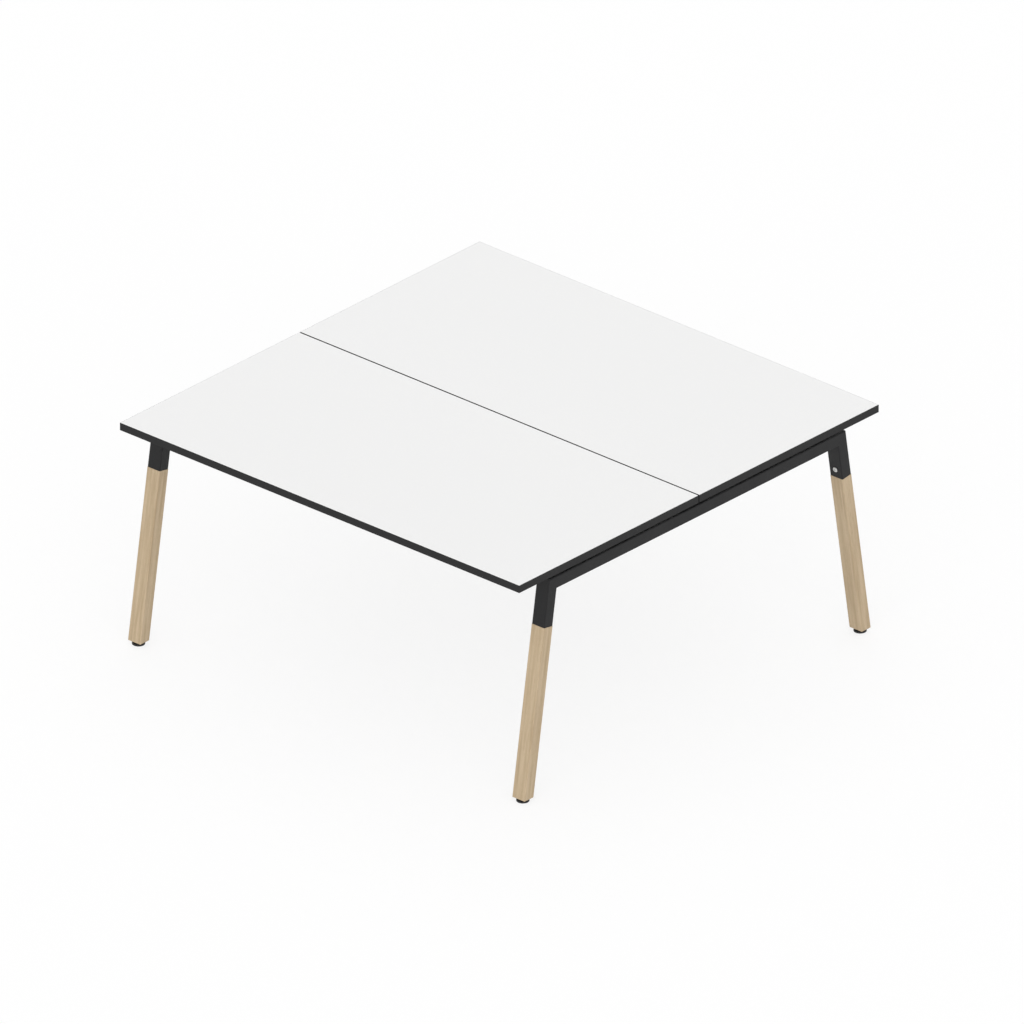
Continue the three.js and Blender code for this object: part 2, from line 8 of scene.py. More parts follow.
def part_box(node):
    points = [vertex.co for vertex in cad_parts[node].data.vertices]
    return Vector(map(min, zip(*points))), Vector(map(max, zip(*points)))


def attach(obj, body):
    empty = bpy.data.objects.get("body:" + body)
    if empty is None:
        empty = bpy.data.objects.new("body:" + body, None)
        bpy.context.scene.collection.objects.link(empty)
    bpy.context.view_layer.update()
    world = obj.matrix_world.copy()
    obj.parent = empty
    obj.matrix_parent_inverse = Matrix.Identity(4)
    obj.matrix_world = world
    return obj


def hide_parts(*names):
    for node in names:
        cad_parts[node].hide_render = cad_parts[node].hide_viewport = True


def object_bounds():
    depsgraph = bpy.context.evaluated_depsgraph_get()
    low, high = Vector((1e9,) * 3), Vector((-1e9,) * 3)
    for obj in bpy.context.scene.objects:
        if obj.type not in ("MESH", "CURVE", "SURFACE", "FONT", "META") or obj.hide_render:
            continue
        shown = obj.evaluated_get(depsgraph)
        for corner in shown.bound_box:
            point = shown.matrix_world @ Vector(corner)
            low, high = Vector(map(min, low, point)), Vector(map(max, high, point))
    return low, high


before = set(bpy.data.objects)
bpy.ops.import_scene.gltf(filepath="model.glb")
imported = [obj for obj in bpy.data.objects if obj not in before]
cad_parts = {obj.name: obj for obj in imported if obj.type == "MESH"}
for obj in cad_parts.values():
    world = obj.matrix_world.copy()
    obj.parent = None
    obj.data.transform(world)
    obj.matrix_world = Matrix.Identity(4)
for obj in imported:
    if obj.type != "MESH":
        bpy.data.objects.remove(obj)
cad_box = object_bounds()

# End rails. Each short end is tied by one length of rectangular steel tube, mitred at both ends and
# welded to the leg sockets. It is drilled above for the board screws and the beam bolts, and below for
# the screwdriver, then powder coated matt black.
SIDES = {"left": -1, "right": 1}
ROWS = {"front": -1, "rear": 1}
TUBE_WALL = 0.002
TUBE_CORNER = 0.004
CORNER_STEPS = 6
LEG_TILT = radians(9)
SCREW_HOLE = 0.0028
BOLT_HOLE = 0.0043
ACCESS_HOLE = 0.007
HOLE_SIDES = 32
SAME_HEIGHT = 1e-5
CREASE_ANGLE = radians(35)
MOTTLE_SCALE = 14
MOTTLE_SPREAD = (0.3, 0.7)
TONE_SPREAD = (0.35, 0.65)
GRAIN_STRENGTH = 0.6
rail_low, rail_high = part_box("end_rail_right")
tube_width = rail_high.x - rail_low.x
tube_depth = rail_high.z - rail_low.z
rail_x = (rail_low.x + rail_high.x) / 2
frame_top = rail_high.z
mitre_run = tube_depth / tan((pi / 2 + LEG_TILT) / 2)
through_wall = 3 * TUBE_WALL


def surface_grain_group():
    """Fine grain, slow mottling and a tone that mixes the two, for every coated or moulded surface."""
    group = bpy.data.node_groups.new("surface_grain", "ShaderNodeTree")
    for given in ("Scale", "Grain Share"):
        group.interface.new_socket(given, in_out="INPUT", socket_type="NodeSocketFloat")
    for result in ("Height", "Mottle", "Tone"):
        group.interface.new_socket(result, in_out="OUTPUT", socket_type="NodeSocketFloat")
    entry = group.nodes.new("NodeGroupInput")
    leave = group.nodes.new("NodeGroupOutput")
    place = group.nodes.new("ShaderNodeTexCoord")
    fine = group.nodes.new("ShaderNodeTexNoise")
    fine.inputs["Detail"].default_value = 3
    fine.inputs["Roughness"].default_value = 0.6
    slow = group.nodes.new("ShaderNodeTexNoise")
    slow.inputs["Scale"].default_value = MOTTLE_SCALE
    slow.inputs["Detail"].default_value = 6
    slow.inputs["Roughness"].default_value = 0.7
    tone = group.nodes.new("ShaderNodeMix")
    tone.data_type = "FLOAT"
    group.links.new(place.outputs["Object"], fine.inputs["Vector"])
    group.links.new(place.outputs["Object"], slow.inputs["Vector"])
    group.links.new(entry.outputs["Scale"], fine.inputs["Scale"])
    group.links.new(fine.outputs["Fac"], leave.inputs["Height"])
    group.links.new(slow.outputs["Fac"], leave.inputs["Mottle"])
    group.links.new(entry.outputs["Grain Share"], tone.inputs["Factor"])
    group.links.new(slow.outputs["Fac"], tone.inputs["A"])
    group.links.new(fine.outputs["Fac"], tone.inputs["B"])
    group.links.new(tone.outputs["Result"], leave.inputs["Tone"])
    return group


surface_grain = surface_grain_group()


def grained_finish(name, dark, light, roughness, specular, grain, metallic=0.0):
    """Even-coloured surface: speckled between two shades by a grain of this scale, share and depth."""
    material = bpy.data.materials.new(name)
    material.use_nodes = True
    tree = material.node_tree
    shader = tree.nodes["Principled BSDF"]
    shader.inputs["Specular IOR Level"].default_value = specular
    shader.inputs["Metallic"].default_value = metallic
    speckle = tree.nodes.new("ShaderNodeGroup")
    speckle.node_tree = surface_grain
    speckle.inputs["Scale"].default_value = grain["scale"]
    speckle.inputs["Grain Share"].default_value = grain["share"]
    shade = tree.nodes.new("ShaderNodeValToRGB")
    for stop, position, colour in zip(shade.color_ramp.elements, TONE_SPREAD, (dark, light)):
        stop.position = position
        stop.color = (*colour, 1)
    gloss = tree.nodes.new("ShaderNodeMapRange")
    gloss.inputs["From Min"].default_value, gloss.inputs["From Max"].default_value = MOTTLE_SPREAD
    gloss.inputs["To Min"].default_value, gloss.inputs["To Max"].default_value = roughness
    bump = tree.nodes.new("ShaderNodeBump")
    bump.inputs["Strength"].default_value = GRAIN_STRENGTH
    bump.inputs["Distance"].default_value = grain["depth"]
    tree.links.new(speckle.outputs["Tone"], shade.inputs["Fac"])
    tree.links.new(shade.outputs["Color"], shader.inputs["Base Color"])
    tree.links.new(speckle.outputs["Mottle"], gloss.inputs["Value"])
    tree.links.new(gloss.outputs["Result"], shader.inputs["Roughness"])
    tree.links.new(speckle.outputs["Height"], bump.inputs["Height"])
    tree.links.new(bump.outputs["Normal"], shader.inputs["Normal"])
    return material


powder_coat = grained_finish(
    "powder_coat",
    dark=(0.0030, 0.0030, 0.0033),
    light=(0.0185, 0.0185, 0.0192),
    roughness=(0.46, 0.58),
    specular=0.28,
    grain={"scale": 1400, "share": 0.85, "depth": 0.0002},
)


def rounded_outline(width, depth, corner, segments):
    """Flat rectangle about the origin, with round corners."""
    outline = bmesh.new()
    bmesh.ops.create_grid(outline, x_segments=1, y_segments=1, size=0.5)
    bmesh.ops.scale(outline, vec=(width, depth, 1), verts=outline.verts)
    bmesh.ops.bevel(
        outline,
        geom=outline.verts[:],
        offset=corner,
        affect="VERTICES",
        segments=segments,
        profile=0.5,
        material=-1,
    )
    return outline


def raise_to(flat, length):
    """Gives a flat outline its length along Z."""
    raised = bmesh.ops.extrude_face_region(flat, geom=flat.faces[:])["geom"]
    tops = [part for part in raised if isinstance(part, bmesh.types.BMVert)]
    bmesh.ops.translate(flat, vec=(0, 0, length), verts=tops)
    bmesh.ops.recalc_face_normals(flat, faces=flat.faces)


def tube_bar(width, depth, length):
    """Rectangular tube along Z, from 0 to length."""
    bar = rounded_outline(width, depth, TUBE_CORNER, CORNER_STEPS)
    core = bar.faces[:]
    bmesh.ops.inset_individual(bar, faces=core, thickness=TUBE_WALL, use_even_offset=True)
    bmesh.ops.delete(bar, geom=core, context="FACES_ONLY")
    raise_to(bar, length)
    return bar


def slant_end(bar, height, slope):
    """Saws the end of a straight piece: its vertices at this height move by slope times y."""
    ends = [vert for vert in bar.verts if abs(vert.co.z - height) < SAME_HEIGHT]
    shear = Matrix(((1, 0, 0, 0), (0, 1, 0, 0), (0, slope, 1, 0), (0, 0, 0, 1)))
    bmesh.ops.transform(bar, matrix=shear, verts=ends)


def link_object(name, data):
    """Object of this mesh, lamp or camera, in the scene."""
    made = bpy.data.objects.new(name, data)
    bpy.context.scene.collection.objects.link(made)
    return made


def combine(blank, tool, operation):
    """Cuts a closed tool out of a closed blank, or joins the two, and leaves the result in the blank."""
    pair = []
    for name, shape in (("blank", blank), ("tool", tool)):
        mesh = bpy.data.meshes.new(name)
        shape.to_mesh(mesh)
        pair.append(link_object(name, mesh))
    joint = pair[0].modifiers.new("joint", "BOOLEAN")
    joint.object = pair[1]
    joint.operation = operation
    joint.solver = "EXACT"
    made = pair[0].evaluated_get(bpy.context.evaluated_depsgraph_get()).to_mesh()
    blank.clear()
    blank.from_mesh(made)
    tool.free()
    for spent in pair:
        mesh = spent.data
        bpy.data.objects.remove(spent)
        bpy.data.meshes.remove(mesh)


def drill(bar, holes):
    """Cuts round holes: each is (centre of the mouth, direction of the drill, radius, depth)."""
    for mouth, direction, radius, depth in holes:
        cutter = bmesh.new()
        aim = Vector(direction).to_track_quat("Z", "Y").to_matrix().to_4x4()
        place = Matrix.Translation(Vector(mouth) + Vector(direction) * depth / 2) @ aim
        bmesh.ops.create_cone(
            cutter,
            cap_ends=True,
            segments=HOLE_SIDES,
            radius1=radius,
            radius2=radius,
            depth=depth,
            matrix=place,
        )
        combine(bar, cutter, "DIFFERENCE")


def put(name, shape, finish, slot, body, *nodes):
    """Makes a finished piece of a bmesh, on the body that carries it, in place of its CAD nodes."""
    mesh = bpy.data.meshes.new(name)
    shape.to_mesh(mesh)
    shape.free()
    mesh.materials.append(finish)
    mesh.polygons.foreach_set("use_smooth", [True] * len(mesh.polygons))
    mesh.set_sharp_from_angle(angle=CREASE_ANGLE)
    piece = link_object(name, mesh)
    flat = piece.modifiers.new("flat_faces", "WEIGHTED_NORMAL")
    flat.keep_sharp = True
    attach(piece, body)
    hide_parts(*nodes)
    return piece


def middle_of(node):
    """Middle of a CAD node's box."""
    low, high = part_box(node)
    return (low + high) / 2


for side, toward in SIDES.items():
    length = rail_high.y - rail_low.y - mitre_run
    rail = tube_bar(tube_width, tube_depth, length)
    bmesh.ops.translate(rail, vec=(0, 0, -length / 2), verts=rail.verts)
    slant_end(rail, length / 2, mitre_run / tube_depth)
    slant_end(rail, -length / 2, -mitre_run / tube_depth)
    middle = Matrix.Translation((toward * rail_x, 0, frame_top - tube_depth / 2))
    lay_down = Matrix.Rotation(pi / 2, 4, "X")
    bmesh.ops.transform(rail, matrix=middle @ lay_down, verts=rail.verts)
    above = frame_top + TUBE_WALL
    below = frame_top - tube_depth - TUBE_WALL
    holes = []
    for row in ROWS:
        for reach in ("outer", "inner"):
            y = middle_of(f"top_screw_{row}_{side}_{reach}").y
            holes.append(((toward * rail_x, y, above), (0, 0, -1), SCREW_HOLE, through_wall))
            holes.append(((toward * rail_x, y, below), (0, 0, 1), ACCESS_HOLE, through_wall))
        y = middle_of(f"beam_bolt_{row}_{side}").y
        holes.append(((toward * rail_x, y, above), (0, 0, -1), BOLT_HOLE, through_wall))
    drill(rail, holes)
    put(f"rail_tube_{side}", rail, powder_coat, "black_coat", "desk_frame", f"end_rail_{side}")

# Leg sockets. A short stub of the same tube hangs from each end of a rail, tilted outwards, and takes
# the tenon of a leg. Its mitre is welded to the rail and ground flush, its lower rim is sawn square, and
# the leg bolt's hole is in its inner face.
SOCKET_LENGTH = 0.154
BOLT_RISE = 0.028
RIM_EDGE = 0.0004
WELD_GAP = 0.00003
axis_y = rail_high.y - tube_depth / 2 * cos(LEG_TILT)
axis_z = frame_top - tube_depth / 2 * sin(LEG_TILT)
bolt_z = BOLT_RISE - SOCKET_LENGTH


def leg_frame(row, side):
    """Frame on the axis of a leg: -Z runs down the leg and +Y faces outwards."""
    turn = Matrix.Identity(4) if ROWS[row] > 0 else Matrix.Rotation(pi, 4, "Z")
    tilt = Matrix.Translation((0, axis_y, axis_z)) @ Matrix.Rotation(LEG_TILT, 4, "X")
    return Matrix.Translation((SIDES[side] * rail_x, 0, 0)) @ turn @ tilt


def deburr(shape, edges, size, segments=2):
    """Takes the sharpness off these edges."""
    bmesh.ops.bevel(
        shape,
        geom=edges,
        offset=size,
        affect="EDGES",
        segments=segments,
        profile=0.5,
        material=-1,
        clamp_overlap=True,
    )


def edges_at(shape, height):
    """Edges that lie level at this height."""
    level = {vert for vert in shape.verts if abs(vert.co.z - height) < SAME_HEIGHT}
    return [edge for edge in shape.edges if level.issuperset(edge.verts)]


for row in ROWS:
    for side in SIDES:
        place = f"{row}_{side}"
        mitre_middle = -mitre_run / 2 - WELD_GAP
        socket = tube_bar(tube_width, tube_depth, SOCKET_LENGTH + mitre_middle)
        bmesh.ops.translate(socket, vec=(0, 0, -SOCKET_LENGTH), verts=socket.verts)
        slant_end(socket, mitre_middle, mitre_run / tube_depth)
        deburr(socket, edges_at(socket, -SOCKET_LENGTH), RIM_EDGE)
        inner_face = (0, -tube_depth / 2 - TUBE_WALL, bolt_z)
        drill(socket, [(inner_face, (0, 1, 0), BOLT_HOLE, through_wall)])
        bmesh.ops.transform(socket, matrix=leg_frame(row, side), verts=socket.verts)
        put(f"socket_tube_{place}", socket, powder_coat, "black_coat", "desk_frame", f"leg_socket_{place}")

# Cross beams. A tube under each board ties the two end frames. A plate is welded across each of its
# ends, with a lip that lies on the end rail; two small holes underneath let the coating run out.
BRACKET_PLATE = 0.005
BRACKET_CORNER = 0.010
BRACKET_CORNER_STEPS = 8
BRACKET_EDGE = 0.0005
LIP_REACH = 0.040
DRAIN_HOLE = 0.004
DRAIN_INSET = 0.045
WELD_RADIUS = 0.0030
WELD_WAIST = 0.86
WELD_RIPPLE = 0.0024
WELD_END = 0.004
WELD_SINK = 0.0003
WELD_SIDES = 20
TURNED_SIDES = 48
AXIS_GAP = 1e-6
PLATE_PROUD = 0.0001
FRAME_SEAT = 0.0003
rail_inner_x = rail_x - tube_width / 2


def rounded_bar(width, depth, length, corner, segments=CORNER_STEPS):
    """Solid bar along Z, from 0 to length, with round edges along it."""
    bar = rounded_outline(width, depth, corner, segments)
    raise_to(bar, length)
    return bar


def turned(points, steps=TURNED_SIDES, closed=False):
    """Turned piece about Z from (radius, height) points; a closed profile makes a sleeve."""
    shape = bmesh.new()
    profile = [shape.verts.new((radius, 0, height)) for radius, height in points]
    following = profile[1:] + profile[:1] if closed else profile[1:]
    edges = [shape.edges.new(pair) for pair in zip(profile, following)]
    bmesh.ops.spin(
        shape,
        geom=profile + edges,
        cent=(0, 0, 0),
        axis=(0, 0, 1),
        angle=2 * pi,
        steps=steps,
        use_merge=True,
    )
    bmesh.ops.remove_doubles(shape, verts=shape.verts, dist=AXIS_GAP)
    bmesh.ops.recalc_face_normals(shape, faces=shape.faces)
    return shape


def weld_bead(length):
    """Run of weld along Z, from 0 to length, with the ripples that its passes leave."""
    steps = max(2, round(length / WELD_RIPPLE))
    profile = [(0, 0)]
    for step in range(2 * steps + 1):
        radius = WELD_RADIUS if step % 2 else WELD_RADIUS * WELD_WAIST
        profile.append((radius, length * step / (2 * steps)))
    return turned(profile + [(0, length)], steps=WELD_SIDES)


for row in ROWS:
    beam_low, beam_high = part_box(f"cross_beam_{row}")
    beam_top = beam_high.z
    beam_depth = beam_high.z - beam_low.z
    bracket_width = beam_high.y - beam_low.y
    y = (beam_low.y + beam_high.y) / 2
    plate_x = rail_inner_x - FRAME_SEAT - BRACKET_PLATE
    beam = tube_bar(tube_width, beam_depth - 2 * PLATE_PROUD, 2 * plate_x + BRACKET_PLATE)
    bmesh.ops.translate(beam, vec=(0, 0, -plate_x - BRACKET_PLATE / 2), verts=beam.verts)
    along = Matrix.Rotation(pi / 2, 4, "Y") @ Matrix.Rotation(pi / 2, 4, "Z")
    lay = Matrix.Translation((0, y, beam_top - beam_depth / 2)) @ along
    bmesh.ops.transform(beam, matrix=lay, verts=beam.verts)
    for side, toward in SIDES.items():
        plate = bmesh.new()
        middle = Matrix.Translation((toward * (plate_x + BRACKET_PLATE / 2), y, beam_top - beam_depth / 2))
        size = Matrix.Diagonal((BRACKET_PLATE, bracket_width, beam_depth, 1))
        bmesh.ops.create_cube(plate, size=1, matrix=middle @ size)
        deburr(plate, plate.edges[:], BRACKET_EDGE)
        combine(beam, plate, "UNION")
        for edge in (-1, 1):
            bead = weld_bead(beam_depth - 2 * WELD_END)
            bead_x = toward * (plate_x + WELD_SINK)
            bead_y = y + edge * (tube_width / 2 - WELD_SINK)
            bead_z = beam_top - beam_depth + WELD_END
            bmesh.ops.translate(bead, vec=(bead_x, bead_y, bead_z), verts=bead.verts)
            combine(beam, bead, "UNION")
        lip_length = rail_inner_x + LIP_REACH - plate_x + BRACKET_CORNER
        lip_width = bracket_width - 3 * BRACKET_EDGE
        lip_height = BRACKET_PLATE - PLATE_PROUD
        lip = rounded_bar(lip_length, lip_width, lip_height, BRACKET_CORNER, BRACKET_CORNER_STEPS)
        deburr(lip, edges_at(lip, lip_height), BRACKET_EDGE)
        lip_x = toward * (rail_inner_x + LIP_REACH - lip_length / 2)
        bmesh.ops.translate(lip, vec=(lip_x, y, frame_top), verts=lip.verts)
        bmesh.ops.bisect_plane(
            lip,
            geom=lip.verts[:] + lip.edges[:] + lip.faces[:],
            plane_co=(toward * (plate_x + BRACKET_PLATE / 3), y, frame_top),
            plane_no=(toward, 0, 0),
            clear_inner=True,
        )
        bmesh.ops.holes_fill(lip, edges=[rim for rim in lip.edges if rim.is_boundary], sides=0)
        bmesh.ops.recalc_face_normals(lip, faces=lip.faces)
        combine(beam, lip, "UNION")
        under_beam = (toward * (rail_inner_x - DRAIN_INSET), y, beam_top - beam_depth - TUBE_WALL)
        under_lip = (toward * rail_x, y, frame_top - BRACKET_PLATE / 2)
        drain = (under_beam, (0, 0, 1), DRAIN_HOLE, through_wall)
        bolt_hole = (under_lip, (0, 0, 1), BOLT_HOLE, 2 * BRACKET_PLATE)
        drill(beam, [drain, bolt_hole])
    put(f"beam_tube_{row}", beam, powder_coat, "black_coat", "desk_frame", f"cross_beam_{row}")

# Beam bolts. Button-headed M8 bolts with a hexagon socket, forged in steel and bright zinc plated. Each
# holds the lip of a beam's end bracket down on its rail.
BOLT_RADIUS = 0.004
BOLT_LEAD = 0.0008
BOLT_KEY = 0.005
BOLT_KEY_DEPTH = 0.0026
BEAM_BOLT_HEAD = 0.007
BEAM_BOLT_HEAD_HEIGHT = 0.0044
BEAM_BOLT_GRIP = 0.016
DOME_STEPS = 8

bright_zinc = grained_finish(
    "bright_zinc",
    dark=(0.56, 0.56, 0.55),
    light=(0.64, 0.635, 0.62),
    roughness=(0.30, 0.42),
    specular=0.5,
    grain={"scale": 2600, "share": 0.5, "depth": 0.00002},
    metallic=1.0,
)


def hexagon_bar(flats, low, high):
    """Six-sided bar about Z."""
    bar = bmesh.new()
    radius = flats / sqrt(3)
    place = Matrix.Translation((0, 0, (low + high) / 2))
    bmesh.ops.create_cone(
        bar,
        cap_ends=True,
        segments=6,
        radius1=radius,
        radius2=radius,
        depth=high - low,
        matrix=place,
    )
    return bar


def button_bolt(grip, head, height):
    """Button-headed bolt: the head's seat is at z = 0, the shank runs down and the domed head up."""
    flat = head / 2
    profile = [(0, -grip), (BOLT_RADIUS - BOLT_LEAD, -grip), (BOLT_RADIUS, BOLT_LEAD - grip)]
    profile.append((BOLT_RADIUS, 0))
    for step in range(DOME_STEPS + 1):
        angle = pi / 2 * step / DOME_STEPS
        profile.append((flat + (head - flat) * cos(angle), height * sin(angle)))
    profile.append((0, height))
    bolt = turned(profile)
    combine(bolt, hexagon_bar(BOLT_KEY, height - BOLT_KEY_DEPTH, 2 * height), "DIFFERENCE")
    return bolt


for row in ROWS:
    for side in SIDES:
        place = f"{row}_{side}"
        bolt = button_bolt(BEAM_BOLT_GRIP, BEAM_BOLT_HEAD, BEAM_BOLT_HEAD_HEIGHT)
        seat = middle_of(f"beam_bolt_{place}")
        bmesh.ops.translate(bolt, vec=(seat.x, seat.y, frame_top + BRACKET_PLATE), verts=bolt.verts)
        put(f"beam_fixing_{place}", bolt, bright_zinc, "zinc_steel", "desk_frame", f"beam_bolt_{place}")

# Wood legs. Solid oak, sawn and planed to the tube's own section, with its edges eased by hand and a
# matt clear lacquer. The upper end is cut down to a tenon that fills the socket; the lower end is sawn
# parallel to the floor.
LEG_EDGE = 0.002
LEG_EDGE_STEPS = 4
ARRIS = 0.0012
SHOULDER_GAP = 0.0003
TENON_LENGTH = 0.096
TENON_PLAY = 0.0004
TENON_EDGE = 0.005
TENON_LEAD = 0.003
NUT_BORE = 0.0063
NUT_DEPTH = 0.0207
BOLT_DEPTH = 0.0263
FLANGE_BORE = 0.0113
FLANGE_DEPTH = 0.0018
BUSH_BORE = 0.0078
BUSH_DEPTH = 0.0253
SCREW_BORE = 0.0053
SCREW_DEPTH = 0.0323
PITH = {
    "front_left": (0.061, 0.084),
    "front_right": (0.078, -0.066),
    "rear_left": (-0.070, 0.058),
    "rear_right": (0.052, 0.092),
}
RING_SCALE = 118
RING_SWAY = 0.018
PORE_SPREAD = (0.58, 0.70)
LATE_WOOD_PORES = 0.25
leg_floor_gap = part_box("foot_bush_front_left")[0].z
leg_reach = (axis_z - leg_floor_gap) / cos(LEG_TILT)
shoulder = -SOCKET_LENGTH - SHOULDER_GAP
tenon_width = tube_width - 2 * (TUBE_WALL + TENON_PLAY)
tenon_depth = tube_depth - 2 * (TUBE_WALL + TENON_PLAY)


def oak_figure_group():
    """Growth rings, pores and slow drift of tone, on coordinates whose Z axis runs up the trunk."""
    group = bpy.data.node_groups.new("oak_figure", "ShaderNodeTree")
    group.interface.new_socket("Vector", in_out="INPUT", socket_type="NodeSocketVector")
    for result in ("Rings", "Pores", "Drift"):
        group.interface.new_socket(result, in_out="OUTPUT", socket_type="NodeSocketFloat")
    entry = group.nodes.new("NodeGroupInput")
    leave = group.nodes.new("NodeGroupOutput")

    def stretched_noise(scale, along, detail, roughness):
        """Noise drawn out along the trunk."""
        stretch = group.nodes.new("ShaderNodeMapping")
        stretch.inputs["Scale"].default_value = (1, 1, along)
        noise = group.nodes.new("ShaderNodeTexNoise")
        noise.inputs["Scale"].default_value = scale
        noise.inputs["Detail"].default_value = detail
        noise.inputs["Roughness"].default_value = roughness
        group.links.new(entry.outputs["Vector"], stretch.inputs["Vector"])
        group.links.new(stretch.outputs["Vector"], noise.inputs["Vector"])
        return noise

    sway = stretched_noise(scale=9, along=0.22, detail=2, roughness=0.5)
    centred = group.nodes.new("ShaderNodeVectorMath")
    centred.operation = "SUBTRACT"
    centred.inputs[1].default_value = (0.5, 0.5, 0.5)
    swing = group.nodes.new("ShaderNodeVectorMath")
    swing.operation = "MULTIPLY"
    swing.inputs[1].default_value = (RING_SWAY, RING_SWAY, 0)
    swayed = group.nodes.new("ShaderNodeVectorMath")
    swayed.operation = "ADD"
    rings = group.nodes.new("ShaderNodeTexWave")
    rings.wave_type = "RINGS"
    rings.rings_direction = "Z"
    rings.wave_profile = "SAW"
    rings.inputs["Scale"].default_value = RING_SCALE
    pores = stretched_noise(scale=1500, along=0.03, detail=1, roughness=0.5)
    pore_mask = group.nodes.new("ShaderNodeMapRange")
    pore_mask.inputs["From Min"].default_value, pore_mask.inputs["From Max"].default_value = PORE_SPREAD
    early = group.nodes.new("ShaderNodeMath")
    early.operation = "MULTIPLY_ADD"
    early.inputs[1].default_value = 1 - LATE_WOOD_PORES
    early.inputs[2].default_value = LATE_WOOD_PORES
    porous = group.nodes.new("ShaderNodeMath")
    porous.operation = "MULTIPLY"
    drift = stretched_noise(scale=95, along=0.045, detail=3, roughness=0.62)
    group.links.new(sway.outputs["Color"], centred.inputs[0])
    group.links.new(centred.outputs["Vector"], swing.inputs[0])
    group.links.new(entry.outputs["Vector"], swayed.inputs[0])
    group.links.new(swing.outputs["Vector"], swayed.inputs[1])
    group.links.new(swayed.outputs["Vector"], rings.inputs["Vector"])
    group.links.new(pores.outputs["Fac"], pore_mask.inputs["Value"])
    group.links.new(rings.outputs["Fac"], early.inputs[0])
    group.links.new(pore_mask.outputs["Result"], porous.inputs[0])
    group.links.new(early.outputs["Value"], porous.inputs[1])
    group.links.new(rings.outputs["Fac"], leave.inputs["Rings"])
    group.links.new(porous.outputs["Value"], leave.inputs["Pores"])
    group.links.new(drift.outputs["Fac"], leave.inputs["Drift"])
    return group


oak_figure = oak_figure_group()
OAK_PALE = (0.628, 0.496, 0.332)
OAK_WARM = (0.469, 0.351, 0.215)
OAK_RING = (0.443, 0.322, 0.191)
OAK_PORE = (0.270, 0.182, 0.100)
RING_SHARE = 0.45
PORE_SHARE = 0.5
DRIFT_SPREAD = (0.34, 0.62)
LACQUER_ROUGHNESS = (0.46, 0.62)
LACQUER_SPECULAR = 0.4
PORE_STRENGTH = 0.35
PORE_DEPTH = 0.0001


def oak_finish(row, side):
    """Lacquered oak whose grain runs along this leg, with the tree's pith off to one side of it."""
    place = f"{row}_{side}"
    material = bpy.data.materials.new(f"lacquered_oak_{place}")
    material.use_nodes = True
    tree = material.node_tree
    shader = tree.nodes["Principled BSDF"]
    shader.inputs["Specular IOR Level"].default_value = LACQUER_SPECULAR
    position = tree.nodes.new("ShaderNodeTexCoord")
    align = tree.nodes.new("ShaderNodeMapping")
    turn_back = Matrix.Rotation(-ROWS[row] * LEG_TILT, 3, "X")
    align.inputs["Rotation"].default_value = turn_back.to_euler()
    pith = Vector((*PITH[place], 0))
    align.inputs["Location"].default_value = pith - turn_back @ leg_frame(row, side).translation
    figure = tree.nodes.new("ShaderNodeGroup")
    figure.node_tree = oak_figure
    tone = tree.nodes.new("ShaderNodeValToRGB")
    for stop, spread, colour in zip(tone.color_ramp.elements, DRIFT_SPREAD, (OAK_WARM, OAK_PALE)):
        stop.position = spread
        stop.color = (*colour, 1)
    ring_share = tree.nodes.new("ShaderNodeMath")
    ring_share.operation = "MULTIPLY"
    ring_share.inputs[1].default_value = RING_SHARE
    ringed = tree.nodes.new("ShaderNodeMix")
    ringed.data_type = "RGBA"
    ringed.inputs["B"].default_value = (*OAK_RING, 1)
    pore_share = tree.nodes.new("ShaderNodeMath")
    pore_share.operation = "MULTIPLY"
    pore_share.inputs[1].default_value = PORE_SHARE
    pored = tree.nodes.new("ShaderNodeMix")
    pored.data_type = "RGBA"
    pored.inputs["B"].default_value = (*OAK_PORE, 1)
    gloss = tree.nodes.new("ShaderNodeMapRange")
    gloss.inputs["To Min"].default_value, gloss.inputs["To Max"].default_value = LACQUER_ROUGHNESS
    bump = tree.nodes.new("ShaderNodeBump")
    bump.invert = True
    bump.inputs["Strength"].default_value = PORE_STRENGTH
    bump.inputs["Distance"].default_value = PORE_DEPTH
    tree.links.new(position.outputs["Object"], align.inputs["Vector"])
    tree.links.new(align.outputs["Vector"], figure.inputs["Vector"])
    tree.links.new(figure.outputs["Drift"], tone.inputs["Fac"])
    tree.links.new(figure.outputs["Rings"], ring_share.inputs[0])
    tree.links.new(ring_share.outputs["Value"], ringed.inputs["Factor"])
    tree.links.new(tone.outputs["Color"], ringed.inputs["A"])
    tree.links.new(figure.outputs["Pores"], pore_share.inputs[0])
    tree.links.new(pore_share.outputs["Value"], pored.inputs["Factor"])
    tree.links.new(ringed.outputs["Result"], pored.inputs["A"])
    tree.links.new(pored.outputs["Result"], shader.inputs["Base Color"])
    tree.links.new(figure.outputs["Pores"], gloss.inputs["Value"])
    tree.links.new(gloss.outputs["Result"], shader.inputs["Roughness"])
    tree.links.new(figure.outputs["Pores"], bump.inputs["Height"])
    tree.links.new(bump.outputs["Normal"], shader.inputs["Normal"])
    return material


